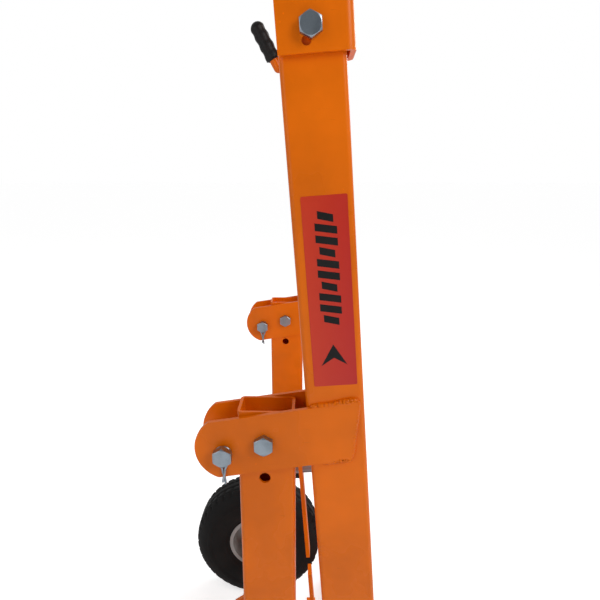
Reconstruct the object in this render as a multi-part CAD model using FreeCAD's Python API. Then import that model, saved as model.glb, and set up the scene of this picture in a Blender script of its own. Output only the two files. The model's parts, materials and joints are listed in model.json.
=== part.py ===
"""Portable gantry crane on two wheels: leaning masts, prop legs, folding head, trolley and hook.

X points to the load side, Y runs from the near side unit to the far one, Z is up and the floor is z = 0.
The origin is the middle of the rubber foot strip's underside. All lengths are millimetres, angles degrees.
"""
import FreeCAD, Part
import math
import os

os.makedirs("parts", exist_ok=True)

# ---- driving dimensions -------------------------------------------------------------------------------
UNITS = {"near": -1, "far": 1}
unit_y = 221.0              # middle of each side unit from the crane's middle plane
lean_deg = 4.4              # masts lean this much, top towards -X
running_gap = 0.05          # radial clearance of a pin in its hole
side_gap = 0.3              # face clearance between pieces that move on each other

tube_wall = 3.0
mast_width = 60.0           # along X
mast_depth = 40.0           # along Y
mast_corner = 5.0

strip_height = 8.0          # rubber foot strip
strip_width = 50.0
rail_size = 40.0            # cross rails, square
bottom_rail_width = 64.0
bottom_rail_overhang = 6.0
middle_rail_up = 440.0      # rail heights, along the mast from the floor
upper_rail_up = 925.0

pivot_height = 622.0        # prop leg pivot above the floor
pivot_offset = 77.3         # pivot to the mast's centre line, level
bracket_tilt_deg = 9.3
bracket_plate = 4.5
bracket_top = 32.5          # plate edges from the pivot, square to the plate's length
bracket_bottom = -32.0
bracket_nose_centre = -37.0
bracket_nose_radius = 36.5
bracket_tip_top = 104.0
bracket_tip_bottom = 88.0
weld_leg = 4.0

leg_width = 60.0
leg_side_clearance = 1.0    # leg wall to bracket plate
leg_shift = 2.0             # leg's middle from its pivot, towards the mast
leg_mast_gap = 0.8          # the leg's top corners pass the mast this far off
leg_below = 343.0
leg_foot_height = 12.0
bush_radius = 10.0
lock_radius = 44.0          # lock pin and lock hole from the pivot
lock_angle_deg = 14.4       # lock pin below level
lock_relief_deg = 29.0      # the leg swings this far while the pin is still drawing clear

bolt_radius = 6.0
hex_flats = 19.0
head_height = 7.5
nut_height = 10.0
washer_radius = 12.0
washer_height = 2.5
thread_proud = 3.0

pin_reach = 96.0            # lock pin's tip from the unit's middle plane
pin_head_height = 8.0
neck_radius = 7.0
neck_length = 4.0
wire_radius = 1.3
clip_drop = 35.0

cap_bolt_up = 1020.0        # cap bolt from the floor, along the mast
cap_plate = 5.0
cap_web_gap = 3.0           # mast's front face to the cap's web
cap_side_gap = 0.5
cap_below = 21.0
cap_above = 115.0
cap_bend = 8.0
cap_hole_radius = 4.2
cap_hole_drop = 11.0
cap_hole_back = 4.4
mast_end_radius = mast_width / 2

post_above = 520.0          # top of the head's posts above the cap bolt
arm_height = 60.0
beam_x = 25.0               # middle of the top beam, over the foot strip's front edge
beam_width = 40.0
beam_height = 60.0
beam_cap = 4.0
gusset_size = 90.0
gusset_plate = 5.0

grip_low = (-53.0, 53.0)    # grip's lower and upper ends from the cap bolt, across and along the mast
grip_high = (-87.0, 127.0)
grip_radius = 13.0
grip_start = 15.0           # grip's open end from the handle's elbow
handle_radius = 8.0

wheel_radius = 130.0
wheel_width = 85.0
wheel_x = -187.0
rim_radius = 52.0
rim_wall = 3.0
rim_flange = 4.0
bead_inset = 13.0          # tyre's bead to its widest point
hub_half = 40.0
hub_radius = 24.0
axle_radius = 8.0
axle_tube_radius = 13.0
bearing_radius = 17.5
bearing_width = 11.0
arm_spread = 40.0
arm_plate = 8.0

strap_back = 25.0           # latch strap from the masts' rear faces
strap_thick = 6.0
strap_wide = 25.0
strap_low = 280.0
strap_high = 468.0
keeper_low = 150.0
keeper_high = 245.0

label_length = 190.0
label_width = 43.6
label_up = 784.0
label_across = 1.9
label_thick = 0.4

roller_radius = 16.0
roller_pitch = 60.0
trolley_plate = 5.0
trolley_gap = 2.0
trolley_length = 110.0
block_height = 24.0
block_drop = 18.0
shank_radius = 8.0
hook_radius = 28.0
hook_section = 8.0
hook_tip_deg = 20.0
hook_throat_deg = 135.0
latch_pin_radius = 2.0
latch_thick = 3.0

# ---- values worked out from them ----------------------------------------------------------------------
V = FreeCAD.Vector
mast_half_y = mast_depth / 2
rail_top = strip_height + rail_size
lean_tan = math.tan(math.radians(lean_deg))
pivot_x = -pivot_height * lean_tan - pivot_offset
leg_depth = mast_depth - 2 * leg_side_clearance
leg_swing_reach = pivot_offset - mast_width / 2 - leg_mast_gap
leg_above = math.sqrt(leg_swing_reach ** 2 - (leg_width / 2 + leg_shift) ** 2)
bracket_outer = mast_half_y + bracket_plate
cap_inner = mast_half_y + cap_side_gap
cap_outer = cap_inner + cap_plate
post_depth = 2 * cap_inner
post_front = mast_width / 2 + cap_web_gap
post_width = post_front + mast_width / 2
post_low = mast_end_radius + cap_web_gap
cap_bolt_x = -cap_bolt_up * math.sin(math.radians(lean_deg))
cap_bolt_z = cap_bolt_up * math.cos(math.radians(lean_deg))
post_top_z = cap_bolt_z + post_above * math.cos(math.radians(lean_deg))
post_top_x = cap_bolt_x - post_above * math.sin(math.radians(lean_deg))
beam_z = post_top_z - arm_height / 2
beam_back = beam_x - beam_width / 2
lock_x = -lock_radius * math.cos(math.radians(lock_angle_deg))
lock_z = -lock_radius * math.sin(math.radians(lock_angle_deg))
wheel_z = wheel_radius
barrel_radius = rim_radius + rim_wall
hub_inner = unit_y - hub_half
tube_end = hub_inner - side_gap - washer_height


# ---- small helpers ------------------------------------------------------------------------------------
def export(name, *shapes):
    """Write one node; several solids in a node stay separate."""
    shape = shapes[0] if len(shapes) == 1 else Part.makeCompound(list(shapes))
    shape.exportStep(os.path.join("parts", name + ".step"))


def moved(shape, x=0.0, y=0.0, z=0.0):
    copy = shape.copy()
    copy.translate(V(x, y, z))
    return copy


def turned(shape, axis, degrees, centre=V(0, 0, 0)):
    copy = shape.copy()
    copy.rotate(centre, axis, degrees)
    return copy


def leaned(shape):
    """Turn a piece drawn upright at the mast's foot into the mast's line."""
    return turned(shape, V(0, 1, 0), -lean_deg)


def at_unit(shape, side):
    return moved(shape, y=side * unit_y)


def at_pivot(shape):
    return moved(shape, x=pivot_x, z=pivot_height)


def at_cap_bolt(shape):
    return leaned(moved(shape, z=cap_bolt_up))


def rod(radius, start, length, x=0.0, z=0.0):
    """Round bar along +Y from y = start."""
    return Part.makeCylinder(radius, length, V(x, start, z), V(0, 1, 0))


def box(x0, x1, y0, y1, z0, z1):
    return Part.makeBox(x1 - x0, y1 - y0, z1 - z0, V(x0, y0, z0))


def rounded_bar(width, depth, corner, low, high):
    """Upright bar with rounded corners, centred on the Z axis."""
    bar = box(-width / 2, width / 2, -depth / 2, depth / 2, low, high)
    upright = [edge for edge in bar.Edges if abs(edge.tangentAt(edge.FirstParameter).z) > 0.9]
    return bar.makeFillet(corner, upright)


def tube(width, depth, corner, low, high):
    outer = rounded_bar(width, depth, corner, low, high)
    inner_corner = max(corner - tube_wall, 0.5)
    return outer.cut(rounded_bar(width - 2 * tube_wall, depth - 2 * tube_wall, inner_corner, low - 1, high + 1))


def cross_tube(width, height, half_length):
    """Rounded tube along Y, width along X, centred on the origin."""
    return turned(tube(width, height, mast_corner, -half_length, half_length), V(1, 0, 0), 90)


def hexagon(height, flats=hex_flats):
    """Hexagonal prism along +Z with points up and down once it is turned to face -Y, its far end chamfered."""
    corner = flats / math.sqrt(3)
    points = []
    for index in range(7):
        angle = math.radians(60 * index + 90)
        points.append(V(corner * math.cos(angle), corner * math.sin(angle), 0))
    prism = Part.Face(Part.makePolygon(points)).extrude(V(0, 0, height))
    chamfer = corner - flats / 2 + 0.4
    slope = Part.makeCone(corner, corner - chamfer, chamfer * 0.6, V(0, 0, height - chamfer * 0.6))
    limit = Part.makeCylinder(corner, height - chamfer * 0.6).fuse(slope)
    return prism.common(limit)


def facing(shape):
    """Turn a fastener drawn along +Z so that its head looks along -Y."""
    return turned(shape, V(1, 0, 0), 90)


def bolt(under_head, reach):
    """Hex bolt along Y: head outside y = -under_head, shank to y = reach."""
    length = under_head + reach
    body = hexagon(head_height).fuse(Part.makeCylinder(bolt_radius, length, V(0, 0, -length)))
    return moved(facing(body), y=-under_head)


def nut(start):
    body = hexagon(nut_height).cut(Part.makeCylinder(bolt_radius + running_gap, nut_height))
    return moved(turned(body, V(1, 0, 0), -90), y=start)


def washer(start, hole=bolt_radius, radius=washer_radius):
    return rod(radius, start, washer_height).cut(rod(hole + running_gap, start, washer_height))


def revolved(points, arcs=()):
    """Ring about the Y axis from a closed (radius, y) outline; arcs maps a point's index to a mid point."""
    arcs = dict(arcs)
    edges = []
    for index, (radius, y) in enumerate(points):
        end_radius, end_y = points[(index + 1) % len(points)]
        start = V(radius, y, 0)
        end = V(end_radius, end_y, 0)
        if index in arcs:
            middle = V(arcs[index][0], arcs[index][1], 0)
            edges.append(Part.Arc(start, middle, end).toShape())
        else:
            edges.append(Part.LineSegment(start, end).toShape())
    return Part.Face(Part.Wire(edges)).revolve(V(0, 0, 0), V(0, 1, 0), 360)


# ---- frame --------------------------------------------------------------------------------------------
def mast():
    body = tube(mast_width, mast_depth, mast_corner, 0, cap_bolt_up)
    crown = rod(mast_end_radius, -mast_half_y, mast_depth, z=cap_bolt_up)
    bore = rod(mast_end_radius - tube_wall, -mast_half_y + tube_wall, mast_depth - 2 * tube_wall, z=cap_bolt_up)
    body = body.fuse(crown.cut(box(-100, 100, -100, 100, 0, cap_bolt_up))).cut(bore)
    body = body.cut(rod(bolt_radius + running_gap, -mast_depth, 2 * mast_depth, z=cap_bolt_up))
    body = leaned(body)
    return body.cut(box(-200, 200, -100, 100, -100, rail_top))


def bracket_plate_shape():
    """Side plate in the bracket's own line: round nose, slanted tip, centred on the pivot."""
    rise = math.sqrt(bracket_nose_radius ** 2 - bracket_top ** 2)
    fall = math.sqrt(bracket_nose_radius ** 2 - bracket_bottom ** 2)
    nose_top = V(bracket_nose_centre - rise, 0, bracket_top)
    nose_low = V(bracket_nose_centre - fall, 0, bracket_bottom)
    nose_tip = V(bracket_nose_centre - bracket_nose_radius, 0, 0)
    tip_top = V(bracket_tip_top, 0, bracket_top)
    tip_low = V(bracket_tip_bottom, 0, bracket_bottom)
    edges = [
        Part.Arc(nose_low, nose_tip, nose_top).toShape(),
        Part.LineSegment(nose_top, tip_top).toShape(),
        Part.LineSegment(tip_top, tip_low).toShape(),
        Part.LineSegment(tip_low, nose_low).toShape(),
    ]
    plate = Part.Face(Part.Wire(edges)).extrude(V(0, bracket_plate, 0))
    return turned(plate, V(0, 1, 0), -bracket_tilt_deg)


def bracket():
    """Two plates on the mast's faces, bored for the pivot bolt and the lock pin."""
    plate = bracket_plate_shape()
    plates = []
    for start in (-bracket_outer, mast_half_y):
        piece = moved(plate, y=start)
        piece = piece.cut(rod(bolt_radius + running_gap, -50, 100))
        piece = piece.cut(rod(bolt_radius + running_gap, -50, 100, lock_x, lock_z))
        plates.append(at_pivot(piece))
    return plates


def weld_bead(start, end, outward):
    """Three-cornered fillet from start to end, lying on a plate's edge and the mast's face."""
    corner = Part.makePolygon([start, start + outward * weld_leg, start + V(0, -weld_leg, 0), start])
    return Part.Face(corner).extrude(end - start)


def bracket_welds():
    beads = []
    mast_back = pivot_offset - mast_width / 2 + mast_corner
    face = -mast_half_y
    tip_top = V(bracket_tip_top, face, bracket_top)
    tip_low = V(bracket_tip_bottom, face, bracket_bottom)
    slant = (tip_top - tip_low).normalize()
    across = V(slant.z, 0, -slant.x)
    runs = [
        (V(mast_back + weld_leg, face, bracket_top), tip_top, V(0, 0, 1)),
        (V(mast_back + 2 * weld_leg, face, bracket_bottom), tip_low, V(0, 0, -1)),
        (tip_low + slant * weld_leg, tip_top - slant * weld_leg, across),
    ]
    for start, end, outward in runs:
        bead = turned(weld_bead(start, end, outward), V(0, 1, 0), -bracket_tilt_deg)
        beads.append(at_pivot(bead))
        beads.append(at_pivot(bead.mirror(V(0, 0, 0), V(0, 1, 0))))
    return beads


def cross_rail(up):
    half = unit_y - mast_half_y
    return leaned(moved(cross_tube(rail_size, rail_size, half), z=up))


def bottom_rail():
    half = unit_y + mast_half_y + bottom_rail_overhang
    rail = moved(cross_tube(bottom_rail_width, rail_size, half), z=strip_height + rail_size / 2)
    ends = []
    for y in (-half, half - tube_wall):
        ends.append(box(-bottom_rail_width / 2 + 1, bottom_rail_width / 2 - 1, y, y + tube_wall,
                        strip_height + 1, rail_top - 1))
    return rail.fuse(ends).removeSplitter()


def foot_strip():
    half = unit_y + mast_half_y
    return box(-strip_width / 2, strip_width / 2, -half, half, 0, strip_height)


def axle_arm(y):
    """Flat plate from the bottom rail's back up to the axle tube, which passes through it."""
    back = -bottom_rail_width / 2
    points = [
        V(back, 0, strip_height + 4),
        V(back, 0, rail_top - 4),
        V(wheel_x + 10, 0, wheel_z + 26),
        V(wheel_x - 26, 0, wheel_z),
        V(wheel_x + 4, 0, wheel_z - 30),
        V(back, 0, strip_height + 4),
    ]
    plate = Part.Face(Part.makePolygon(points)).extrude(V(0, arm_plate, 0))
    plate = moved(plate, y=y - arm_plate / 2)
    return plate.cut(rod(axle_tube_radius, -200, 400, wheel_x, wheel_z))


def axle_arms():
    return [axle_arm(-arm_spread), axle_arm(arm_spread)]


def axle_tube():
    outer = rod(axle_tube_radius, -tube_end, 2 * tube_end, wheel_x, wheel_z)
    return outer.cut(rod(axle_radius + running_gap, -tube_end, 2 * tube_end, wheel_x, wheel_z))


def axle():
    end = unit_y + hub_half + side_gap + washer_height + nut_height + thread_proud
    return rod(axle_radius, -end, 2 * end, wheel_x, wheel_z)


def axle_retainers():
    """Washer each side of each hub and the nut outside it."""
    pieces = []
    outer = unit_y + hub_half + side_gap
    for side in UNITS.values():
        inner_washer = washer(tube_end, axle_radius, hub_radius - 4)
        outer_washer = washer(outer, axle_radius, hub_radius - 4)
        end_nut = turned(hexagon(nut_height, 24.0), V(1, 0, 0), -90)
        end_nut = moved(end_nut.cut(rod(axle_radius + running_gap, -1, nut_height + 2)), y=outer + washer_height)
        for piece in (inner_washer, outer_washer, end_nut):
            piece = moved(piece, wheel_x, 0, wheel_z)
            pieces.append(piece if side > 0 else turned(piece, V(0, 0, 1), 180, V(wheel_x, 0, wheel_z)))
    return pieces


def flat_strap(low, high):
    """Flat bar behind the masts, along their line, on the crane's middle plane."""
    front = -mast_width / 2 - strap_back
    bar = box(front - strap_thick, front, -strap_wide / 2, strap_wide / 2, low, high)
    return bar


def latch_strap():
    hole = Part.makeCylinder(4 + running_gap, 200, V(-200, 0, middle_rail_up), V(1, 0, 0))
    return leaned(flat_strap(strap_low, strap_high).cut(hole))


def strap_bolt():
    """Bolt through the strap into a spacer that stands on the middle rail."""
    strap_face = -mast_width / 2 - strap_back
    reach = -rail_size / 2 - strap_face
    spacer = Part.makeCylinder(7, reach, V(strap_face, 0, middle_rail_up), V(1, 0, 0))
    spacer = spacer.cut(Part.makeCylinder(4 + running_gap, reach, V(strap_face, 0, middle_rail_up), V(1, 0, 0)))
    length = reach + strap_thick
    screw = Part.makeCylinder(4, length, V(strap_face - strap_thick, 0, middle_rail_up), V(1, 0, 0))
    head = turned(hexagon(5.3, 13.0), V(0, 1, 0), -90)
    head = moved(head, strap_face - strap_thick, 0, middle_rail_up)
    return [leaned(spacer), leaned(screw.fuse(head))]


def strap_keeper():
    """Flat bar under the strap's end with a foot that runs forward to the bottom rail."""
    bar = leaned(flat_strap(keeper_low, keeper_high))
    brace_half = arm_spread - arm_plate / 2
    low = bar.BoundBox.ZMin
    brace = box(bar.BoundBox.XMin - 2, bar.BoundBox.XMax, -brace_half, brace_half, low - 6, low + 0.5)
    stem_x = bar.BoundBox.XMax - 8
    stem = box(stem_x, stem_x + 8, -brace_half, brace_half, 55, low - 5.5)
    return bar.fuse([brace, stem]).removeSplitter()


def label():
    plate = box(label_across - label_width / 2, label_across + label_width / 2,
                -mast_half_y - label_thick, -mast_half_y, label_up - label_length / 2, label_up + label_length / 2)
    return leaned(plate)


# ---- prop legs and lock pins --------------------------------------------------------------------------
def lock_relief():
    """Ring sector that the drawing pin sweeps through the leg's edge, about the pivot."""
    reach = bolt_radius + 0.7
    ring = rod(lock_radius + reach, -50, 100).cut(rod(lock_radius - reach, -50, 100))
    last = lock_angle_deg + lock_relief_deg
    keep = turned(box(-100, 0, -60, 60, 0, 100), V(0, 1, 0), -last)
    ring = ring.common(keep)
    end_x = -lock_radius * math.cos(math.radians(last))
    end_z = -lock_radius * math.sin(math.radians(last))
    return ring.fuse(rod(reach, -50, 100, end_x, end_z))


def leg_tube():
    body = moved(tube(leg_width, leg_depth, mast_corner, -leg_below + leg_foot_height, leg_above), x=leg_shift)
    body = body.cut(rod(bush_radius, -50, 100))
    body = body.cut(rod(bolt_radius + running_gap, -50, 100, 0, -lock_radius))
    body = body.cut(lock_relief())
    return at_pivot(body)


def leg_bush():
    half = mast_half_y - side_gap
    return at_pivot(rod(bush_radius, -half, 2 * half).cut(rod(bolt_radius + running_gap, -half, 2 * half)))


def leg_foot():
    """Rubber end foot: a plug inside the tube and a pad below it."""
    low = -leg_below
    pad = rounded_bar(leg_width, leg_depth, mast_corner, low, low + leg_foot_height)
    plug_corner = mast_corner - tube_wall
    plug = rounded_bar(leg_width - 2 * tube_wall - 0.1, leg_depth - 2 * tube_wall - 0.1, plug_corner,
                       low + leg_foot_height - 1, low + leg_foot_height + 25)
    return at_pivot(moved(pad.fuse(plug).removeSplitter(), x=leg_shift))


def lock_pin():
    """Plain pin with a neck for the clip and a hexagon head."""
    start = -bracket_outer - side_gap
    shank = rod(bolt_radius, start, pin_reach - start - bolt_radius)
    tip = Part.makeSphere(bolt_radius, V(0, pin_reach - bolt_radius, 0))
    neck = rod(neck_radius, start - neck_length, neck_length)
    head = moved(facing(hexagon(pin_head_height)), y=start - neck_length)
    body = shank.fuse([tip, neck, head]).removeSplitter()
    return at_pivot(moved(body, lock_x, 0, lock_z))


def pin_clip():
    """Wire ring round the pin's neck with a narrow double tail."""
    middle = -bracket_outer - side_gap - neck_length / 2
    ring_radius = neck_radius + running_gap + wire_radius
    pieces = []
    shoulder = V(ring_radius * math.sin(math.radians(35)), 0, -ring_radius * math.cos(math.radians(35)))
    end_half = 1.9
    for sign in (-1, 1):
        start = V(sign * shoulder.x, 0, shoulder.z)
        end = V(sign * end_half, 0, -clip_drop + end_half)
        run = end - start
        pieces.append(Part.makeCylinder(wire_radius, run.Length, start, run))
        pieces.append(Part.makeSphere(wire_radius, end))
    pieces.append(Part.makeCylinder(wire_radius, 2 * end_half, V(-end_half, 0, -clip_drop + end_half), V(1, 0, 0)))
    ring = Part.makeTorus(ring_radius, wire_radius, V(0, 0, 0), V(0, 1, 0))
    body = ring.fuse(pieces)
    return at_pivot(moved(body, lock_x, middle, lock_z))


# ---- folding gantry head ------------------------------------------------------------------------------
def cap():
    """Channel over the mast's top: web on the load side, two side plates bored for the cap bolt."""
    outer_front = post_front + cap_plate
    back = -mast_width / 2
    block = box(back, outer_front, -cap_outer, cap_outer, -cap_below, cap_above)
    bends = []
    for edge in block.Edges:
        middle = edge.CenterOfMass
        if abs(edge.tangentAt(edge.FirstParameter).z) > 0.9 and middle.x > 0:
            bends.append(edge)
    block = block.makeFillet(cap_bend, bends)
    block = block.cut(box(back - 1, post_front, -cap_inner, cap_inner, -cap_below - 1, cap_above + 1))
    block = block.cut(rod(bolt_radius + running_gap, -50, 100))
    block = block.cut(rod(cap_hole_radius, -50, 100, -cap_hole_back, -cap_hole_drop))
    return at_cap_bolt(block)


def post():
    centre = post_front - post_width / 2
    body = moved(tube(post_width, post_depth, mast_corner, post_low, post_above), x=centre)
    return at_cap_bolt(body)


def post_in_head(low, high):
    centre = post_front - post_width / 2
    return at_cap_bolt(moved(rounded_bar(post_width, post_depth, mast_corner, low, high), x=centre))


def head_arm():
    """Level tube from the post's front face to the top beam."""
    arm = turned(tube(arm_height, post_depth, mast_corner, 0, beam_back - post_top_x), V(0, 1, 0), 90)
    arm = moved(arm, post_top_x, 0, beam_z)
    return arm.cut(post_in_head(post_low, post_above + 50))


def head_gusset():
    """Three-cornered plate in the corner below the arm, on the middle of the post's front."""
    top = beam_z - arm_height / 2
    drop = top - gusset_size
    front_at = lambda z: -z * lean_tan + post_front / math.cos(math.radians(lean_deg))
    points = [V(front_at(top), 0, top), V(front_at(drop), 0, drop), V(front_at(top) + gusset_size, 0, top)]
    plate = Part.Face(Part.makePolygon(points + points[:1])).extrude(V(0, gusset_plate, 0))
    return moved(plate, y=-gusset_plate / 2)


def top_beam():
    half = unit_y + post_depth / 2
    return moved(cross_tube(beam_width, beam_height, half), beam_x, 0, beam_z)


def beam_caps():
    half = unit_y + post_depth / 2
    pieces = []
    for side in UNITS.values():
        cover = rounded_bar(beam_width, beam_height, mast_corner, half, half + beam_cap)
        plug = rounded_bar(beam_width - 2 * tube_wall - 0.1, beam_height - 2 * tube_wall - 0.1,
                           mast_corner - tube_wall, half - 15, half + 1)
        piece = turned(cover.fuse(plug).removeSplitter(), V(1, 0, 0), -90 * side)
        pieces.append(moved(piece, beam_x, 0, beam_z))
    return pieces


def grip_line():
    low = V(grip_low[0], 0, grip_low[1])
    high = V(grip_high[0], 0, grip_high[1])
    return low, (high - low).normalize(), (high - low).Length


def handle_bar():
    """Stub straight back from the post and a bar up through the grip, with a round elbow."""
    low, along, length = grip_line()
    back = -mast_width / 2
    stub = Part.makeCylinder(handle_radius, back - low.x, V(low.x, 0, low.z), V(1, 0, 0))
    bar = Part.makeCylinder(handle_radius, length - 4, low, along)
    elbow = Part.makeSphere(handle_radius, low)
    return at_cap_bolt(stub.fuse([bar, elbow]).removeSplitter())


def grip():
    """Closed-end rubber grip with a round tip, pushed over the bar."""
    low, along, length = grip_line()
    start = low + along * grip_start
    reach = length - grip_start - grip_radius
    body = Part.makeCylinder(grip_radius, reach, start, along)
    body = body.fuse(Part.makeSphere(grip_radius, start + along * reach)).removeSplitter()
    body = body.cut(Part.makeCylinder(handle_radius, length - 4, low, along))
    return at_cap_bolt(body)


# ---- wheels -------------------------------------------------------------------------------------------
def tyre():
    half = wheel_width / 2
    bead = half - bead_inset
    shoulder = wheel_radius - 9.0
    lip = barrel_radius + rim_flange + side_gap
    outline = [(barrel_radius, -bead), (lip, -bead), (shoulder, -half + 8), (wheel_radius, -half + 22),
               (wheel_radius, half - 22), (shoulder, half - 8), (lip, bead), (barrel_radius, bead)]
    middle = (rim_radius + shoulder) / 2
    outer = revolved(outline, {1: (middle, -half), 5: (middle, half)})
    inset = 8.0
    hollow = [(barrel_radius - 1, -bead + inset), (shoulder - inset, -half + 8 + inset),
              (wheel_radius - inset, -half + 22 + 2), (wheel_radius - inset, half - 22 - 2),
              (shoulder - inset, half - 8 - inset), (barrel_radius - 1, bead - inset)]
    cavity = revolved(hollow, {0: (middle, -half + inset), 4: (middle, half - inset)})
    return outer.cut(cavity)


def rim():
    """Drop-centre barrel with a flange each side of the tyre's beads and a dished centre disc."""
    half = wheel_width / 2 - bead_inset
    flange = barrel_radius + rim_flange
    end = half + rim_wall
    barrel = revolved([(rim_radius, -end), (flange, -end), (flange, -half), (barrel_radius, -half),
                       (barrel_radius, half), (flange, half), (flange, end), (rim_radius, end)])
    disc = revolved([(hub_radius, -2), (hub_radius, 2), (rim_radius, 6), (rim_radius, 2)])
    return barrel.fuse(disc).removeSplitter()


def hub():
    body = rod(hub_radius, -hub_half, 2 * hub_half).cut(rod(bearing_radius - 3, -hub_half, 2 * hub_half))
    seat = rod(bearing_radius, -hub_half, bearing_width)
    body = body.cut(seat)
    return body.cut(moved(seat, y=2 * hub_half - bearing_width))


def bearings():
    ring = rod(bearing_radius, -hub_half, bearing_width).cut(rod(axle_radius + running_gap, -50, 100))
    return [ring, moved(ring, y=2 * hub_half - bearing_width)]


def at_wheel(shape, side):
    return moved(shape, wheel_x, side * unit_y, wheel_z)


# ---- trolley and hook ---------------------------------------------------------------------------------
trolley_top = beam_z + beam_height / 2 + side_gap + roller_radius
block_top = beam_z - beam_height / 2 - block_drop
plate_inner = beam_width / 2 + trolley_gap
block_low = block_top - block_height
hook_centre_z = block_low - 12.0 - hook_radius * 2.42


def trolley_plates():
    plates = []
    for start in (-plate_inner - trolley_plate, plate_inner):
        plate = box(beam_x + start, beam_x + start + trolley_plate, -trolley_length / 2, trolley_length / 2,
                    block_low, trolley_top + 16)
        side_edges = [edge for edge in plate.Edges if abs(edge.tangentAt(edge.FirstParameter).x) > 0.9]
        plate = plate.makeFillet(12.0, side_edges)
        for y in (-roller_pitch / 2, roller_pitch / 2):
            plate = plate.cut(Part.makeCylinder(5, 200, V(beam_x - 100, y, trolley_top), V(1, 0, 0)))
        plates.append(plate)
    return plates


def trolley_axles():
    reach = plate_inner + trolley_plate + 5
    axles = []
    for y in (-roller_pitch / 2, roller_pitch / 2):
        axles.append(Part.makeCylinder(5, 2 * reach, V(beam_x - reach, y, trolley_top), V(1, 0, 0)))
    return axles


def trolley_block():
    body = box(beam_x - plate_inner, beam_x + plate_inner, -28, 28, block_low, block_top)
    return body.cut(Part.makeCylinder(shank_radius + running_gap, 100, V(beam_x, 0, block_low - 10)))


def roller(y):
    half = plate_inner - 1.0
    body = Part.makeCylinder(roller_radius, 2 * half, V(beam_x - half, y, trolley_top), V(1, 0, 0))
    return body.cut(Part.makeCylinder(5 + running_gap, 2 * half, V(beam_x - half, y, trolley_top), V(1, 0, 0)))


def hook_path():
    """Shank straight down, a long bend away from the load line, then the round bowl to the tip."""
    throat = math.radians(hook_throat_deg)
    tip = math.radians(hook_tip_deg)
    bend_start = V(hook_radius * math.cos(throat), 0, hook_radius * math.sin(throat))
    bend_radius = -bend_start.x / (1 - math.cos(throat - math.radians(90)))
    bend_top = V(0, 0, bend_start.z + bend_radius * math.sin(throat - math.radians(90)))
    half = (throat - math.radians(90)) / 2
    bend_mid = V(-bend_radius * (1 - math.cos(half)), 0, bend_top.z - bend_radius * math.sin(half))
    bowl_mid = V(0, 0, -hook_radius)
    tip_point = V(hook_radius * math.cos(tip), 0, hook_radius * math.sin(tip))
    top = V(0, 0, block_top - hook_centre_z + 2)
    return top, bend_top, bend_mid, bend_start, bowl_mid, tip_point


def latch_pivot():
    return V(12.0, 0, 50.0)


def swivel_hook():
    top, bend_top, bend_mid, bend_start, bowl_mid, tip_point = hook_path()
    edges = [
        Part.LineSegment(top, bend_top).toShape(),
        Part.Arc(bend_top, bend_mid, bend_start).toShape(),
        Part.Arc(bend_start, bowl_mid, tip_point).toShape(),
    ]
    path = Part.Wire(edges)
    section = Part.Wire([Part.makeCircle(hook_section, top, V(0, 0, -1))])
    body = path.makePipeShell([section], True, True)
    collar = Part.makeCylinder(14, 6, V(0, 0, block_low - hook_centre_z - side_gap - 6))
    pivot = latch_pivot()
    ear = box(0, pivot.x + 4, -3, 3, pivot.z - 4, pivot.z + 4)
    ear = ear.cut(rod(latch_pin_radius, -10, 20, pivot.x, pivot.z))
    body = body.fuse([Part.makeSphere(hook_section, tip_point), collar, ear]).removeSplitter()
    latch_pin = rod(latch_pin_radius, -7.5, 15, pivot.x, pivot.z)
    return [moved(body, beam_x, 0, hook_centre_z), moved(latch_pin, beam_x, 0, hook_centre_z)]


def hook_nut():
    start = block_top - hook_centre_z + side_gap
    body = Part.makeCylinder(15, 12, V(0, 0, start)).cut(Part.makeCylinder(shank_radius, 12, V(0, 0, start)))
    cover = Part.makeCylinder(15, 2, V(0, 0, start + 12))
    return moved(body.fuse(cover).removeSplitter(), beam_x, 0, hook_centre_z)


def hook_latch():
    """Flat spring latch with two lugs round the pin, its end just inside the hook's tip."""
    pivot = latch_pivot()
    tip = hook_path()[5]
    gap = hook_section + latch_thick / 2 + side_gap
    reach = tip - pivot
    aim = math.atan2(reach.z, reach.x) - math.asin(gap / reach.Length)
    length = reach.Length + 2
    bar = box(0, length, -6.5, 6.5, -latch_thick / 2, latch_thick / 2)
    bar = bar.cut(box(-1, 7.5, -3.3, 3.3, -5, 5))
    lugs = []
    for y in (-6.5, 3.3):
        lugs.append(rod(latch_pin_radius + 2.2, y, 3.2))
    body = bar.fuse(lugs).removeSplitter().cut(rod(latch_pin_radius + running_gap, -10, 20))
    body = turned(body, V(0, 1, 0), -math.degrees(aim))
    return moved(body, beam_x + pivot.x, 0, hook_centre_z + pivot.z)


# ---- write every node ---------------------------------------------------------------------------------
def both(pieces):
    """The same solids at the near and the far unit."""
    return [at_unit(piece, side) for side in UNITS.values() for piece in pieces]


def write_frame():
    for name, side in UNITS.items():
        export(name + "_mast", at_unit(mast(), side))
        export(name + "_bracket", *[at_unit(plate, side) for plate in bracket()])
    export("bracket_welds", *both(bracket_welds()))
    for joint, place, under in (("leg_pivot", at_pivot, bracket_outer), ("cap", at_cap_bolt, cap_outer + side_gap)):
        nut_start = under + washer_height
        end = nut_start + nut_height + thread_proud
        export(joint + "_bolts", *both([place(bolt(under, end))]))
        export(joint + "_nuts", *both([place(nut(nut_start))]))
        export(joint + "_washers", *both([place(washer(under))]))
    export("bottom_rail", bottom_rail())
    export("middle_rail", cross_rail(middle_rail_up))
    export("upper_rail", cross_rail(upper_rail_up))
    export("foot_strip", foot_strip())
    export("axle_tube", axle_tube())
    export("axle", axle())
    export("axle_arms", *axle_arms())
    export("axle_retainers", *axle_retainers())
    export("latch_strap", latch_strap())
    export("strap_bolt", *strap_bolt())
    export("strap_keeper", strap_keeper())
    export("mast_labels", *both([label()]))


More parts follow.
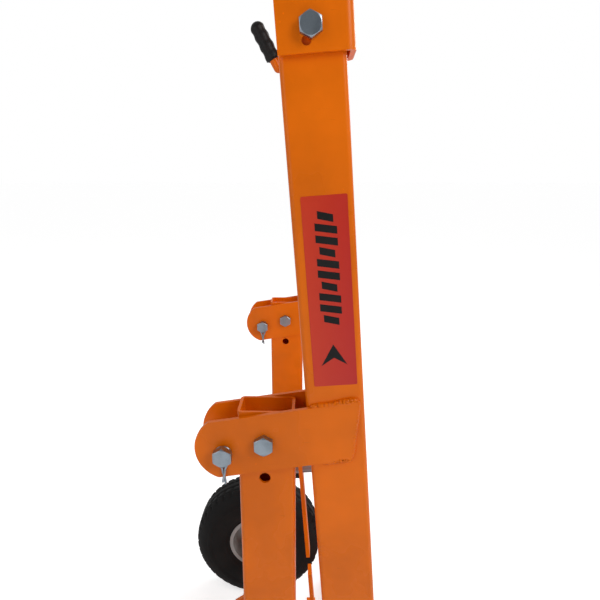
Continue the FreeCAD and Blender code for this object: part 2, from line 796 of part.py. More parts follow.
def write_units():
    for name, side in UNITS.items():
        export(name + "_leg_tube", at_unit(leg_tube(), side))
        export(name + "_leg_bush", at_unit(leg_bush(), side))
        export(name + "_leg_foot", at_unit(leg_foot(), side))
        export(name + "_lock_pin", at_unit(lock_pin(), side))
        export(name + "_pin_clip", at_unit(pin_clip(), side))
        export(name + "_tyre", at_wheel(tyre(), side))
        export(name + "_rim", at_wheel(rim(), side))
        export(name + "_hub", at_wheel(hub(), side))
        export(name + "_bearings", *[at_wheel(ring, side) for ring in bearings()])


def write_head():
    for name, side in UNITS.items():
        export(name + "_cap", at_unit(cap(), side))
        export(name + "_post", at_unit(post(), side))
        export(name + "_grip", at_unit(grip(), side))
    export("head_arms", *both([head_arm()]))
    export("head_gussets", *both([head_gusset()]))
    export("handle_bars", *both([handle_bar()]))
    export("top_beam", top_beam())
    export("beam_caps", *beam_caps())


def write_trolley():
    export("trolley_plates", *trolley_plates())
    export("trolley_axles", *trolley_axles())
    export("trolley_block", trolley_block())
    export("near_roller", roller(-roller_pitch / 2))
    export("far_roller", roller(roller_pitch / 2))
    export("swivel_hook", *swivel_hook())
    export("hook_nut", hook_nut())
    export("hook_latch", hook_latch())


write_frame()
write_units()
write_head()
write_trolley()
print("pivot x", round(pivot_x, 3), "cap bolt", round(cap_bolt_x, 3), round(cap_bolt_z, 3))
print("beam z", round(beam_z, 3), "trolley top", round(trolley_top, 3), "hook centre", round(hook_centre_z, 3))
print("lock pin", round(pivot_x + lock_x, 3), round(pivot_height + lock_z, 3), "block low", round(block_low, 3))
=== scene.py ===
"""Looks of the portable gantry crane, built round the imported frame. Lengths are metres, Z is up, +X the load side."""
import json
import math

import bmesh
import bpy
import numpy as np
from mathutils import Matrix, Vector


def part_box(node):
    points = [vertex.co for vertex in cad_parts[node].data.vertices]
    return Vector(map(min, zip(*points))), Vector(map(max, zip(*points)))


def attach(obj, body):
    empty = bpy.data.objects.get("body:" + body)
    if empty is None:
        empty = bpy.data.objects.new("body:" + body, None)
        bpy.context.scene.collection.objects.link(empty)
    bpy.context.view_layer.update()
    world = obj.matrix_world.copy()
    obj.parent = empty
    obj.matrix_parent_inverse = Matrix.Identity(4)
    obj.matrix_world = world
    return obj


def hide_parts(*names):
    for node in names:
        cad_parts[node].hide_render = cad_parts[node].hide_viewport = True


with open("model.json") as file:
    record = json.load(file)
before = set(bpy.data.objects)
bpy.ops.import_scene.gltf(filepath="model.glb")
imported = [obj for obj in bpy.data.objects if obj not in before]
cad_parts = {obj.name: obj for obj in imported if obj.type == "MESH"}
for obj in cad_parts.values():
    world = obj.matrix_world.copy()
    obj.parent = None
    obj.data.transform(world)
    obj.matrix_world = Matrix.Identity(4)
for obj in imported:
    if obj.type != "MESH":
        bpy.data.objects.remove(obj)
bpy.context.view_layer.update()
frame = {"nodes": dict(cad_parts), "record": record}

bl_info = {
    "name": "Portable gantry crane",
    "version": (1, 0, 0),
    "blender": (4, 5, 0),
    "location": "3D View > Sidebar > Crane",
    "description": "Paint, tyres, grips, welds, clips and labels of a wheeled gantry crane",
    "category": "Object",
}

SIDES = ("near", "far")

# Sizes in metres, given across and along the mast, or along and square to the bracket's tilted line.
GRIP_FOOT = (-0.053, 0.053)      # where the handle bar turns up, from the cap bolt
GRIP_TIP = (-0.087, 0.127)
GRIP_START = 0.015               # bare bar below the grip
GRIP_RADIUS = 0.013
BRACKET_TILT = math.radians(9.3)
BRACKET_FACE = 0.0212            # weld line from the unit's middle plane
WELD_RUNS = (((0.054, 0.0325), (0.104, 0.0325)), ((0.057, -0.032), (0.088, -0.032)),
             ((0.088, -0.032), (0.104, 0.0325)))
WELD_SEED = 11
TYRE_BEAD = 0.0554               # radius of the tyre's inner edge
CLIP_RING = 0.00835              # wire line round the pin's neck
CLIP_DROP = 0.0355
CLIP_HALF = 0.0014               # half the distance between the twisted legs
WIRE_RADIUS = 0.00125
LABEL_ACROSS = 0.0019            # label's middle from the mast's centre line
LABEL_FADE = 0.06                # distance over which the label's red deepens
FILM = 0.0003
PRINT = 0.0001


# ---- places read from the frame -----------------------------------------------------------------------
def joint_place(name):
    """The rest position of a named joint, as an array."""
    for joint in frame["record"]["behaviour"]["joints"]:
        if joint["name"] == name:
            return np.array(joint["pos_m"], dtype=float)
    raise KeyError(name)


CAP_BOLT = joint_place("head_fold")
LEAN = math.atan2(-CAP_BOLT[0], CAP_BOLT[2])
ACROSS = np.array([math.cos(LEAN), 0.0, math.sin(LEAN)])
ALONG = np.array([-math.sin(LEAN), 0.0, math.cos(LEAN)])
AWAY = np.array([0.0, 1.0, 0.0])


def unit_y(side):
    return joint_place(side + "_wheel_spin")[1]


# ---- mesh helpers -------------------------------------------------------------------------------------
def make_object(name, points, faces, smooth=True):
    """A mesh object at the origin from an (n, 3) array of points and a list of face tuples."""
    mesh = bpy.data.meshes.new(name)
    mesh.from_pydata([tuple(point) for point in points], [], faces)
    mesh.validate()
    mesh.polygons.foreach_set("use_smooth", [smooth] * len(mesh.polygons))
    mesh.update()
    piece = bpy.data.objects.new(name, mesh)
    bpy.context.scene.collection.objects.link(piece)
    return piece


def ring_faces(rings, count, closed):
    """Quads between neighbouring rings of count points each; closed joins the last ring to the first."""
    last = rings if closed else rings - 1
    row = np.arange(last)[:, None]
    column = np.arange(count)[None, :]
    next_row = (row + 1) % rings
    next_column = (column + 1) % count
    quads = np.stack([row * count + column, row * count + next_column,
                      next_row * count + next_column, next_row * count + column], axis=-1)
    return [tuple(quad) for quad in quads.reshape(-1, 4).tolist()]


def ring_surface(name, grid, closed):
    """Skin over a (rings, count, 3) grid; an open one is closed with a flat cap at each end."""
    rings, count = grid.shape[:2]
    faces = ring_faces(rings, count, closed)
    if not closed:
        faces.append(tuple(range(count))[::-1])
        faces.append(tuple(range((rings - 1) * count, rings * count)))
    piece = make_object(name, grid.reshape(-1, 3), faces)
    outwards(piece)
    return piece


def outwards(piece):
    """Recalculates the normals so that every face points out of the closed shape."""
    work = bmesh.new()
    work.from_mesh(piece.data)
    bmesh.ops.recalc_face_normals(work, faces=work.faces)
    work.to_mesh(piece.data)
    work.free()


def rounded_curve(points, rounds=3):
    """Corner cutting: each round replaces a point by two at a quarter and three quarters of its runs."""
    curve = np.array(points, dtype=float)
    for _ in range(rounds):
        first = 0.75 * curve[:-1] + 0.25 * curve[1:]
        second = 0.25 * curve[:-1] + 0.75 * curve[1:]
        middle = np.stack([first, second], axis=1).reshape(-1, curve.shape[1])
        curve = np.vstack([curve[:1], middle, curve[-1:]])
    return curve


def tube_along(name, path, radius, sides=16):
    """Round tube: at each path point a circle of the given radius square to the path's direction."""
    path = np.asarray(path, dtype=float)
    radius = np.asarray(radius, dtype=float)
    if radius.ndim < 2:
        radius = np.broadcast_to(radius, (len(path),))
    direction = np.gradient(path, axis=0)
    direction /= np.linalg.norm(direction, axis=1)[:, None]
    side = np.cross(direction, AWAY)
    small = np.linalg.norm(side, axis=1) < 1e-6
    side[small] = ACROSS
    side /= np.linalg.norm(side, axis=1)[:, None]
    up = np.cross(side, direction)
    angle = np.linspace(0, 2 * math.pi, sides, endpoint=False)
    circle = np.cos(angle)[None, :, None] * side[:, None, :] + np.sin(angle)[None, :, None] * up[:, None, :]
    reach = radius[:, None, None] if radius.ndim == 1 else radius[:, :, None]
    return ring_surface(name, path[:, None, :] + circle * reach, False)


def plate(name, outline, thickness, origin):
    """Flat plate: an outline given across and along the mast, thickened towards -Y from the origin."""
    outline = np.asarray(outline, dtype=float)
    face = origin + outline[:, :1] * ACROSS + outline[:, 1:] * ALONG
    front = face - AWAY * thickness
    count = len(outline)
    faces = [tuple(range(count)), tuple(range(2 * count - 1, count - 1, -1))]
    faces += [(i, i + count, (i + 1) % count + count, (i + 1) % count) for i in range(count)]
    piece = make_object(name, np.vstack([face, front]), faces, smooth=False)
    outwards(piece)
    return piece


def rounded_rectangle(width, height, corner, steps=6):
    """Outline of a rectangle whose corners are quarter circles."""
    points = []
    for index, (sx, sy) in enumerate([(1, 1), (-1, 1), (-1, -1), (1, -1)]):
        start = index * math.pi / 2
        angles = start + np.linspace(0, math.pi / 2, steps)
        centre = np.array([sx * (width / 2 - corner), sy * (height / 2 - corner)])
        points.append(centre + corner * np.stack([np.cos(angles), np.sin(angles)], axis=1))
    return np.vstack(points)


# ---- shader node groups -------------------------------------------------------------------------------
def new_group(name, inputs, outputs):
    group = bpy.data.node_groups.new(name, "ShaderNodeTree")
    for label, kind, value in inputs:
        socket = group.interface.new_socket(label, in_out="INPUT", socket_type=kind)
        if value is not None:
            socket.default_value = value
    for label, kind in outputs:
        group.interface.new_socket(label, in_out="OUTPUT", socket_type=kind)
    return group, group.nodes.new("NodeGroupInput"), group.nodes.new("NodeGroupOutput")


def noise(tree, vector, scale, detail=4.0, rough=0.6):
    node = tree.nodes.new("ShaderNodeTexNoise")
    node.inputs["Scale"].default_value = scale
    node.inputs["Detail"].default_value = detail
    node.inputs["Roughness"].default_value = rough
    tree.links.new(vector, node.inputs["Vector"])
    return node.outputs["Fac"]


def remap(tree, value, low, high, out_low=0.0, out_high=1.0):
    node = tree.nodes.new("ShaderNodeMapRange")
    node.inputs["From Min"].default_value = low
    node.inputs["From Max"].default_value = high
    node.inputs["To Min"].default_value = out_low
    node.inputs["To Max"].default_value = out_high
    tree.links.new(value, node.inputs["Value"])
    return node.outputs["Result"]


def math_node(tree, operation, first, second):
    node = tree.nodes.new("ShaderNodeMath")
    node.operation = operation
    for socket, value in zip(node.inputs, (first, second)):
        if isinstance(value, (int, float)):
            socket.default_value = value
        else:
            tree.links.new(value, socket)
    return node.outputs[0]


def mix_colour(tree, factor, first, second):
    node = tree.nodes.new("ShaderNodeMix")
    node.data_type = "RGBA"
    tree.links.new(factor, node.inputs["Factor"])
    for socket, value in ((node.inputs["A"], first), (node.inputs["B"], second)):
        if hasattr(value, "is_output"):
            tree.links.new(value, socket)
        else:
            socket.default_value = value
    return node.outputs["Result"]


def surface_group():
    """Finish group: patchy tint, fine texture height, dust specks and scuffs, all from one position.

    Patches is slow noise, Grain is fine noise for a bump, Specks is sparse dots where cell distance is
    small, and Scuffs is where stretched noise peaks.
    """
    group, start, end = new_group(
        "surface_finish",
        [("Vector", "NodeSocketVector", None), ("Patch Scale", "NodeSocketFloat", 6.0),
         ("Grain Scale", "NodeSocketFloat", 400.0), ("Speck Scale", "NodeSocketFloat", 90.0)],
        [("Patches", "NodeSocketFloat"), ("Grain", "NodeSocketFloat"), ("Specks", "NodeSocketFloat"),
         ("Scuffs", "NodeSocketFloat")])
    position = start.outputs["Vector"]
    patches = noise(group, position, 6.0)
    group.links.new(start.outputs["Patch Scale"], patches.node.inputs["Scale"])
    grain = noise(group, position, 400.0, 3.0, 0.5)
    group.links.new(start.outputs["Grain Scale"], grain.node.inputs["Scale"])
    cells = group.nodes.new("ShaderNodeTexVoronoi")
    group.links.new(position, cells.inputs["Vector"])
    group.links.new(start.outputs["Speck Scale"], cells.inputs["Scale"])
    dots = remap(group, cells.outputs["Distance"], 0.05, 0.13, 1.0, 0.0)
    pick = remap(group, noise(group, position, 35.0), 0.6, 0.66)
    specks = math_node(group, "MULTIPLY", dots, pick)
    stretch = group.nodes.new("ShaderNodeMapping")
    stretch.inputs["Scale"].default_value = (30.0, 30.0, 260.0)
    stretch.inputs["Rotation"].default_value = (0.3, 0.5, 0.2)
    group.links.new(position, stretch.inputs["Vector"])
    scuffs = remap(group, noise(group, stretch.outputs["Vector"], 1.0, 6.0, 0.7), 0.66, 0.72)
    for label, value in (("Patches", patches), ("Grain", grain), ("Specks", specks), ("Scuffs", scuffs)):
        group.links.new(value, end.inputs[label])
    return group


# ---- materials ----------------------------------------------------------------------------------------
class Finish:
    """One material with object coordinates, the surface_finish group and a Principled shader."""

    def __init__(self, name, group, patch=6.0, grain=400.0, speck=90.0):
        self.material = bpy.data.materials.new(name)
        self.material.use_nodes = True
        self.tree = self.material.node_tree
        self.shader = self.tree.nodes["Principled BSDF"]
        coords = self.tree.nodes.new("ShaderNodeTexCoord")
        self.position = coords.outputs["Object"]
        self.group = self.tree.nodes.new("ShaderNodeGroup")
        self.group.node_tree = group
        self.tree.links.new(self.position, self.group.inputs["Vector"])
        self.group.inputs["Patch Scale"].default_value = patch
        self.group.inputs["Grain Scale"].default_value = grain
        self.group.inputs["Speck Scale"].default_value = speck

    def colour(self, value):
        self.tree.links.new(value, self.shader.inputs["Base Color"])

    def roughness(self, mask, low, high):
        self.tree.links.new(remap(self.tree, mask, 0.3, 0.7, low, high), self.shader.inputs["Roughness"])

    def bump(self, height, strength, distance):
        node = self.tree.nodes.new("ShaderNodeBump")
        node.inputs["Strength"].default_value = strength
        node.inputs["Distance"].default_value = distance
        self.tree.links.new(height, node.inputs["Height"])
        self.tree.links.new(node.outputs["Normal"], self.shader.inputs["Normal"])

    def set(self, **values):
        for key, value in values.items():
            self.shader.inputs[key.replace("_", " ")].default_value = value


def shade(colour, factor):
    return (colour[0] * factor, colour[1] * factor, colour[2] * factor, 1.0)


def paint(name, group, colour, light=1.12, dark=0.86):
    """Powder coat: slow light and dark patches, pale dust specks, faint scuffs and orange-peel bump."""
    finish = Finish(name, group)
    body = mix_colour(finish.tree, remap(finish.tree, finish.group.outputs["Patches"], 0.35, 0.65),
                      shade(colour, dark), shade(colour, light))
    scuffed = mix_colour(finish.tree, math_node(finish.tree, "MULTIPLY", finish.group.outputs["Scuffs"], 0.35),
                         body, shade(colour, 0.45))
    finish.colour(mix_colour(finish.tree, math_node(finish.tree, "MULTIPLY", finish.group.outputs["Specks"], 0.5),
                             scuffed, shade(colour, 1.7)))
    finish.roughness(finish.group.outputs["Patches"], 0.24, 0.34)
    finish.bump(finish.group.outputs["Grain"], 0.12, 0.0006)
    finish.set(Specular_IOR_Level=0.25)
    return finish.material


def metal(name, group, colour, rough, dirt=0.35):
    """Plated steel: cloudy tint, dark dirt in slow patches, fine brushed grain."""
    finish = Finish(name, group, patch=60.0, grain=900.0)
    dirty = remap(finish.tree, finish.group.outputs["Patches"], 0.5, 0.75, 0.0, dirt)
    tinted = mix_colour(finish.tree, finish.group.outputs["Grain"], shade(colour, 0.85), shade(colour, 1.15))
    finish.colour(mix_colour(finish.tree, dirty, tinted, shade(colour, 0.25)))
    finish.roughness(finish.group.outputs["Patches"], rough, rough + 0.15)
    finish.bump(finish.group.outputs["Grain"], 0.15, 0.0003)
    finish.set(Metallic=1.0)
    return finish.material


def rubber(name, group, colour, rough, grain=700.0):
    """Rubber or plastic: near-black with grey dust in patches and a fine pebbled bump."""
    finish = Finish(name, group, patch=18.0, grain=grain)
    dust = remap(finish.tree, finish.group.outputs["Patches"], 0.5, 0.8, 0.0, 0.4)
    finish.colour(mix_colour(finish.tree, dust, shade(colour, 1.0), shade((0.03, 0.026, 0.022), 1.0)))
    finish.roughness(finish.group.outputs["Patches"], rough, rough + 0.15)
    finish.bump(finish.group.outputs["Grain"], 0.25, 0.0004)
    finish.set(Specular_IOR_Level=0.3)
    return finish.material


def label_film(name, group, left, right, centre, width):
    """Vinyl film: one red fades into a deeper one across the mast, with faint ripples and gloss."""
    finish = Finish(name, group, patch=40.0, grain=120.0)
    turn = finish.tree.nodes.new("ShaderNodeMapping")
    turn.inputs["Location"].default_value = (-centre[0], 0.0, -centre[2])
    finish.tree.links.new(finish.position, turn.inputs["Vector"])
    split = finish.tree.nodes.new("ShaderNodeSeparateXYZ")
    finish.tree.links.new(turn.outputs["Vector"], split.inputs["Vector"])
    fade = remap(finish.tree, split.outputs["X"], -width / 2, width / 2)
    finish.colour(mix_colour(finish.tree, fade, left, right))
    finish.roughness(finish.group.outputs["Patches"], 0.3, 0.42)
    finish.bump(finish.group.outputs["Grain"], 0.1, 0.0005)
    finish.set(Coat_Weight=0.2, Coat_Roughness=0.1)
    return finish.material


MATERIALS = {}


def material(slot):
    """The material of a record slot, made on first use from the user's colours."""
    if MATERIALS:
        return MATERIALS[slot]
    settings = bpy.context.scene.crane_looks
    group = surface_group()
    MATERIALS["orange_paint"] = paint("orange powder coat", group, tuple(settings.paint_colour))
    MATERIALS["grey_paint"] = paint("grey rim paint", group, (0.42, 0.42, 0.41), 1.05, 0.8)
    MATERIALS["zinc"] = metal("blue zinc plate", group, tuple(settings.zinc_colour), 0.28)
    MATERIALS["steel"] = metal("turned steel", group, (0.42, 0.41, 0.39), 0.3)
    MATERIALS["forged_steel"] = metal("forged steel", group, (0.16, 0.15, 0.145), 0.42, 0.6)
    MATERIALS["tyre_rubber"] = rubber("tyre rubber", group, (0.004, 0.0035, 0.0035), 0.62)
    MATERIALS["black_rubber"] = rubber("grip rubber", group, (0.008, 0.007, 0.007), 0.42)
    MATERIALS["black_plastic"] = rubber("black plastic", group, (0.006, 0.006, 0.006), 0.4, 300.0)
    MATERIALS["nylon"] = rubber("natural nylon", group, (0.6, 0.57, 0.5), 0.45, 300.0)
    place = ALONG * settings.label_height + AWAY * unit_y("near")
    MATERIALS["label_film"] = label_film("label film", group, tuple(settings.label_colour) + (1.0,),
                                         tuple(settings.label_shade) + (1.0,), place, LABEL_FADE)
    return MATERIALS[slot]


def dress(piece, slot, body, *replaced):
    """Gives a new piece the material of its record slot, puts it under its body and hides the CAD nodes that it stands
    for.
    """
    piece.data.materials.clear()
    piece.data.materials.append(material(slot))
    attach(piece, body)
    if replaced:
        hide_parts(*replaced)
    return piece


# ---- settings -----------------------------------------------------------------------------------------
class CraneLooks(bpy.types.PropertyGroup):
    paint_colour: bpy.props.FloatVectorProperty(
        name="Paint", description="Colour of the powder coat", subtype="COLOR", size=3, default=(0.85, 0.165, 0.0))
    zinc_colour: bpy.props.FloatVectorProperty(
        name="Zinc", description="Tint of the plated fasteners", subtype="COLOR", size=3, default=(0.36, 0.42, 0.48))
    label_colour: bpy.props.FloatVectorProperty(
        name="Label", description="Label's lighter side", subtype="COLOR", size=3, default=(0.66, 0.035, 0.001))
    label_shade: bpy.props.FloatVectorProperty(
        name="Label shade", description="Label's deeper side", subtype="COLOR", size=3, default=(0.55, 0.006, 0.0005))
    label_height: bpy.props.FloatProperty(
        name="Label height", description="Label's middle, along the mast", unit="LENGTH", default=0.784)
    label_length: bpy.props.FloatProperty(
        name="Label length", description="Label's size along the mast", unit="LENGTH", default=0.190)
    label_width: bpy.props.FloatProperty(
        name="Label width", description="Label's size across the mast", unit="LENGTH", default=0.0436)
    groove_depth: bpy.props.FloatProperty(
        name="Grip grooves", description="Depth of the finger grooves", unit="LENGTH", default=0.0012)
    tread_depth: bpy.props.FloatProperty(
        name="Tread depth", description="Depth of the tyre's tread", unit="LENGTH", default=0.003)
    weld_radius: bpy.props.FloatProperty(
        name="Weld bead", description="Radius of the weld beads", unit="LENGTH", default=0.0036)


class CraneOperator:
    bl_options = {"REGISTER", "UNDO"}

    @property
    def looks(self):
        return bpy.context.scene.crane_looks


class OBJECT_OT_crane_paint(CraneOperator, bpy.types.Operator):
    """Give every carried-over part the material of its slot"""
    bl_idname = "object.crane_paint"
    bl_label = "Paint the frame"

    def execute(self, context):
        slots = {entry["node"]: entry["material_slot"] for entry in frame["record"]["subparts"]}
        for node, part in frame["nodes"].items():
            for index in range(len(part.material_slots)):
                part.material_slots[index].material = material(slots[node])
        return {"FINISHED"}


def tyre_profile(half_width, bead, outer):
    """Half of the tyre's section from bead to tread as (radius, offset), before it is rounded."""
    return [(bead, 0.69 * half_width), (bead + 0.006, 0.79 * half_width), (bead + 0.018, 0.94 * half_width),
            (bead + 0.036, half_width), (outer - 0.021, 0.975 * half_width), (outer - 0.010, 0.86 * half_width),
            (outer - 0.002, 0.70 * half_width), (outer, 0.45 * half_width), (outer, 0.0)]


def tyre(name, centre, half_width, bead, outer, tread):
    """Ring of sections: the rounded profile and its mirror, cut by tread grooves and raised sidewall ribs."""
    half = rounded_curve(tyre_profile(half_width, bead, outer), 3)
    inner = np.stack([np.full(6, bead), np.linspace(-half[0, 1], half[0, 1], 8)[1:-1]], axis=1)
    section = np.vstack([half, (half * [1, -1])[::-1][1:], inner])
    turns = 360
    angle = np.linspace(0, 2 * math.pi, turns, endpoint=False)[:, None]
    radius = section[None, :, 0]
    offset = section[None, :, 1]
    on_tread = np.clip((radius - (outer - 0.008)) / 0.004, 0, 1)
    rib = np.minimum.reduce([np.abs(np.abs(offset) - ring) for ring in (0.007, 0.021)]) < 0.0018
    lug_wave = np.sin(angle * 44 + np.abs(offset) / half_width * 3.0)
    lug = np.clip((lug_wave - 0.55) * 4, 0, 1) * (np.abs(offset) > 0.007)
    depth = tread * on_tread * np.maximum(rib, lug)
    ring_marks = [(outer - 0.027, 0.0012), (outer - 0.031, 0.0012), (bead + 0.012, 0.001)]
    side_rib = sum(height * np.exp(-((radius - place) / 0.0011) ** 2) for place, height in ring_marks)
    wide = offset + np.sign(offset) * (side_rib - 0.0012) * (np.abs(offset) > 0.6 * half_width)
    reach = radius - depth
    grid = np.stack([centre[0] + reach * np.sin(angle), centre[1] + wide + 0 * angle,
                     centre[2] + reach * np.cos(angle)], axis=-1)
    return ring_surface(name, grid, True)


class OBJECT_OT_crane_tyres(CraneOperator, bpy.types.Operator):
    """Build both tyres with tread lugs and sidewall ribs"""
    bl_idname = "object.crane_tyres"
    bl_label = "Tyres"

    def execute(self, context):
        for side in SIDES:
            centre = joint_place(side + "_wheel_spin")
            low, high = (np.array(corner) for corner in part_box(side + "_tyre"))
            half_width = (high[1] - low[1]) / 2 - 0.0002
            piece = tyre(side + "_tyre_tread", centre, half_width, TYRE_BEAD, centre[2] - 0.0001,
                         self.looks.tread_depth)
            dress(piece, "tyre_rubber", side + "_wheel", side + "_tyre")
            valve_path = centre + np.array([[0.036, 0.0, 0.036], [0.036, -0.014, 0.036], [0.034, -0.026, 0.034]])
            valve = tube_along(side + "_valve", rounded_curve(valve_path, 2), 0.0028, 12)
            dress(valve, "black_rubber", side + "_wheel")
        return {"FINISHED"}


def grip(name, low, high, radius, groove):
    """Grip round a straight axis: the radius dips in three finger grooves and closes in a round tip and collar."""
    steps = 96
    place = np.linspace(0, 1, steps)
    length = np.linalg.norm(high - low)
    wave = 0.5 - 0.5 * np.cos(2 * math.pi * 3.0 * np.clip((place - 0.1) / 0.78, 0, 1))
    body = radius - 0.0004 - groove * wave * (place > 0.1) * (place < 0.88)
    tip = np.sqrt(np.clip(1 - np.clip((place * length - (length - radius)) / radius, 0, 0.999) ** 2, 0.002, 1))
    collar = np.clip(place * length / 0.002, 0.75, 1)
    path = low + (high - low) * place[:, None]
    return tube_along(name, path, body * tip * collar, 40)


class OBJECT_OT_crane_grips(CraneOperator, bpy.types.Operator):
    """Build the finger-groove rubber grips over the handle bars"""
    bl_idname = "object.crane_grips"
    bl_label = "Grips"

    def execute(self, context):
        for side in SIDES:
            pivot = CAP_BOLT + AWAY * unit_y(side)
            low = pivot + GRIP_FOOT[0] * ACROSS + GRIP_FOOT[1] * ALONG
            high = pivot + GRIP_TIP[0] * ACROSS + GRIP_TIP[1] * ALONG
            along = (high - low) / np.linalg.norm(high - low)
            start = low + GRIP_START * along
            piece = grip(side + "_finger_grip", start, high, GRIP_RADIUS, self.looks.groove_depth)
            dress(piece, "black_rubber", "gantry_head", side + "_grip")
        return {"FINISHED"}


def bead(name, start, end, radius, seed):
    """Weld bead: overlapping ripples along a line, with seeded lumps in its radius and a wandering line."""
    draws = np.random.default_rng(seed)
    steps = 150
    place = np.linspace(0, 1, steps)[:, None]
    path = start + (end - start) * place
    wander = np.cumsum(draws.normal(0, 0.00008, (steps, 3)), axis=0)
    wander -= wander[-1] * place
    path = path + wander
    angle = np.linspace(0, 2 * math.pi, 18, endpoint=False)[None, :]
    ripple = 0.10 * np.abs(np.sin(place * 42 + 0.5 * np.cos(angle)))
    lumps = draws.normal(0, 0.05, (steps, 18))
    taper = np.sqrt(np.clip(1 - (2 * place - 1) ** 10, 0.02, 1))
    reach = radius * (0.86 + ripple + lumps) * taper
    return tube_along(name, path, reach, 18)


def bracket_point(pivot, length, rise, tilt):
    """A point of the bracket, given along and square to its tilted line from the pivot."""
    return pivot + np.array([length * math.cos(tilt) - rise * math.sin(tilt), 0.0,
                             length * math.sin(tilt) + rise * math.cos(tilt)])


class OBJECT_OT_crane_welds(CraneOperator, bpy.types.Operator):
    """Lay the rough weld beads round the bracket plates"""
    bl_idname = "object.crane_welds"
    bl_label = "Weld beads"

    def execute(self, context):
        seed = WELD_SEED
        for side in SIDES:
            pivot = joint_place(side + "_prop_leg_swing")
            for face in (-1, 1):
                origin = pivot + AWAY * face * BRACKET_FACE
                for index, (start, end) in enumerate(WELD_RUNS):
                    seed += 1
                    name = "%s_weld_%s_%d" % (side, "front" if face < 0 else "back", index)
                    piece = bead(name, bracket_point(origin, *start, BRACKET_TILT),
                                 bracket_point(origin, *end, BRACKET_TILT), self.looks.weld_radius, seed)
                    replaced = ("bracket_welds",) if seed == WELD_SEED + 1 else ()
                    dress(piece, "orange_paint", "frame", *replaced)
        return {"FINISHED"}


def clip_path(ring, drop, half):
    """Wire line: up one leg, out in a V to the ring's tangent, over the top, and back down the other side.

    The V's sides touch the ring where its radius is square to them, at the angle whose cosine is ring over
    the depth of the V's point. Below the point the legs twist once round each other.
    """
    point = 0.5 * drop
    touch = math.acos(ring / point)
    turn = np.linspace(-math.pi / 2 - touch, -math.pi / 2 + touch - 2 * math.pi, 70)
    circle = np.stack([ring * np.cos(turn), 0 * turn, ring * np.sin(turn)], axis=1)
    place = np.linspace(0, 1, 26)[:, None]
    twist = math.pi * place
    stem = np.hstack([-half * np.cos(twist), half * np.sin(twist), -point - (drop - point) * place])
    other = stem * [-1, -1, 1]
    other = other[:22]
    run = np.linspace(0, 1, 10)[1:-1, None]
    out = stem[0] + (circle[0] - stem[0]) * run
    back = circle[-1] + (other[0] - circle[-1]) * run
    return np.vstack([stem[::-1], out, circle, back, other])


class OBJECT_OT_crane_clips(CraneOperator, bpy.types.Operator):
    """Bend the wire clips round the necks of the lock pins"""
    bl_idname = "object.crane_clips"
    bl_label = "Wire clips"

    def execute(self, context):
        for side in SIDES:
            place = joint_place(side + "_clip_swing")
            path = place + clip_path(CLIP_RING, CLIP_DROP, CLIP_HALF)
            piece = tube_along(side + "_wire_clip", path, WIRE_RADIUS, 14)
            dress(piece, "zinc", side + "_clip", side + "_pin_clip")
        return {"FINISHED"}


def label_marks(width, length):
    """Plain bars and an arrow head: outlines across and along the mast, about the label's middle."""
    marks = []
    bar = 0.0072
    pitch = 0.0112
    slant = 0.004
    for index in range(10):
        top = length / 2 - 0.014 - index * pitch
        half = width * (0.24 if index % 3 else 0.17)
        marks.append([(-half, top), (half, top - slant), (half, top - slant - bar), (-half, top - bar)])
    low = -length / 2 + 0.018
    marks.append([(-0.013, low + 0.004), (0.0, low + 0.026), (0.013, low + 0.004), (0.0, low + 0.012)])
    return marks


class OBJECT_OT_crane_labels(CraneOperator, bpy.types.Operator):
    """Stick a plain label with generic bars on each mast"""
    bl_idname = "object.crane_labels"
    bl_label = "Labels"

    def execute(self, context):
        looks = self.looks
        for side in SIDES:
            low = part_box(side + "_mast")[0]
            origin = ALONG * looks.label_height + ACROSS * LABEL_ACROSS + AWAY * low[1]
            outline = rounded_rectangle(looks.label_width, looks.label_length, 0.0015)
            film = plate(side + "_label_film", outline, FILM, origin)
            dress(film, "label_film", "frame", *(("mast_labels",) if side == "near" else ()))
            for index, mark in enumerate(label_marks(looks.label_width, looks.label_length)):
                piece = plate("%s_label_mark_%d" % (side, index), mark, PRINT, origin - AWAY * FILM)
                dress(piece, "black_plastic", "frame")
        return {"FINISHED"}


# ---- stage --------------------------------------------------------------------------------------------
def light_world(tree):
    """Studio surround: white where it is seen, and dimmer on the -Y side where it only lights the crane."""
    back = tree.nodes["Background"]
    coords = tree.nodes.new("ShaderNodeTexCoord")
    split = tree.nodes.new("ShaderNodeSeparateXYZ")
    tree.links.new(coords.outputs["Generated"], split.inputs["Vector"])
    dim = remap(tree, split.outputs["Y"], -0.9, 0.6, 0.12, 0.6)
    path = tree.nodes.new("ShaderNodeLightPath")
    bright = math_node(tree, "MAXIMUM", dim, path.outputs["Is Camera Ray"])
    tree.links.new(bright, back.inputs["Strength"])
    back.inputs["Color"].default_value = (1.0, 1.0, 1.0, 1.0)


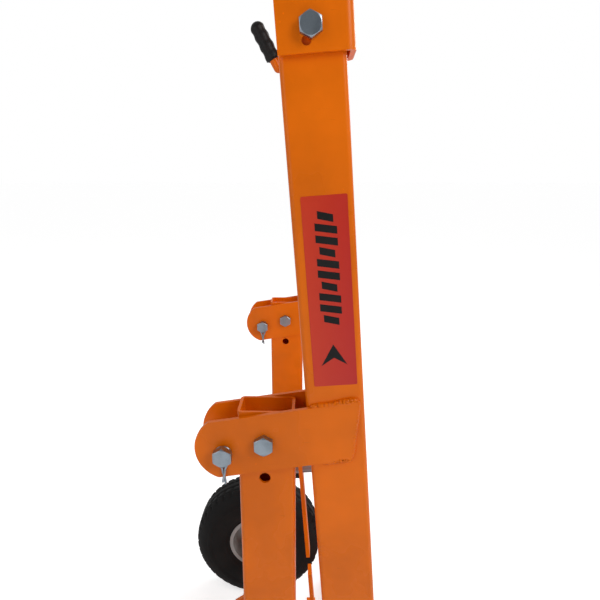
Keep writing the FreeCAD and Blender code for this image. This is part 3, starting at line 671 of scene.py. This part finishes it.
class OBJECT_OT_crane_stage(CraneOperator, bpy.types.Operator):
    """Set up the camera, the pale floor and the soft studio lights"""
    bl_idname = "object.crane_stage"
    bl_label = "Stage"

    def execute(self, context):
        scene = context.scene
        lens = bpy.data.cameras.new("camera")
        lens.sensor_width = 36.0
        lens.lens = 30.37
        lens.clip_start = 0.01
        camera = bpy.data.objects.new("camera", lens)
        camera.location = (-0.0765, -0.7174, 0.9013)
        camera.rotation_euler = (math.radians(90 - 14.68), 0.0, math.radians(1.314))
        scene.collection.objects.link(camera)
        scene.camera = camera
        floor = make_object("floor", np.array([[-30, -30, 0], [30, -30, 0], [30, 30, 0], [-30, 30, 0]], float),
                            [(0, 1, 2, 3)], smooth=False)
        pale = bpy.data.materials.new("pale floor")
        pale.use_nodes = True
        shader = pale.node_tree.nodes["Principled BSDF"]
        shader.inputs["Base Color"].default_value = (0.9, 0.9, 0.9, 1.0)
        shader.inputs["Roughness"].default_value = 0.9
        shader.inputs["Emission Color"].default_value = (1.0, 1.0, 1.0, 1.0)
        path = pale.node_tree.nodes.new("ShaderNodeLightPath")
        glow = remap(pale.node_tree, path.outputs["Is Camera Ray"], 0.0, 1.0, 0.12, 0.62)
        pale.node_tree.links.new(glow, shader.inputs["Emission Strength"])
        floor.data.materials.append(pale)
        world = bpy.data.worlds.new("studio")
        world.use_nodes = True
        light_world(world.node_tree)
        scene.world = world
        scene.view_settings.view_transform = "Standard"
        lights = [("key", (1.6, -1.6, 2.2), 28.0, 1.2), ("fill", (-1.8, -1.8, 1.4), 10.0, 1.6),
                  ("rim", (1.4, 1.6, 1.8), 20.0, 1.0)]
        for name, place, power, size in lights:
            lamp = bpy.data.lights.new(name, "AREA")
            lamp.energy = power
            lamp.size = size
            light = bpy.data.objects.new(name, lamp)
            light.location = place
            aim = np.array([-0.08, 0.0, 0.75]) - np.array(place)
            turn = math.atan2(aim[0], -aim[1])
            tip = math.atan2(math.hypot(aim[0], aim[1]), -aim[2])
            light.rotation_euler = (tip, 0.0, turn + math.pi)
            scene.collection.objects.link(light)
        return {"FINISHED"}


STEPS = (OBJECT_OT_crane_stage, OBJECT_OT_crane_paint, OBJECT_OT_crane_tyres, OBJECT_OT_crane_grips,
         OBJECT_OT_crane_welds, OBJECT_OT_crane_clips, OBJECT_OT_crane_labels)


class VIEW3D_PT_crane(bpy.types.Panel):
    bl_label = "Gantry crane"
    bl_idname = "VIEW3D_PT_crane"
    bl_space_type = "VIEW_3D"
    bl_region_type = "UI"
    bl_category = "Crane"

    def draw(self, context):
        looks = context.scene.crane_looks
        for name in CraneLooks.__annotations__:
            self.layout.prop(looks, name)
        for step in STEPS:
            self.layout.operator(step.bl_idname)


CLASSES = (CraneLooks,) + STEPS + (VIEW3D_PT_crane,)


def register():
    for cls in CLASSES:
        bpy.utils.register_class(cls)
    bpy.types.Scene.crane_looks = bpy.props.PointerProperty(type=CraneLooks)


def unregister():
    del bpy.types.Scene.crane_looks
    for cls in reversed(CLASSES):
        bpy.utils.unregister_class(cls)


def main():
    register()
    bpy.ops.object.crane_stage()
    bpy.ops.object.crane_paint()
    bpy.ops.object.crane_tyres()
    bpy.ops.object.crane_grips()
    bpy.ops.object.crane_welds()
    bpy.ops.object.crane_clips()
    bpy.ops.object.crane_labels()


if __name__ == "__main__":
    main()
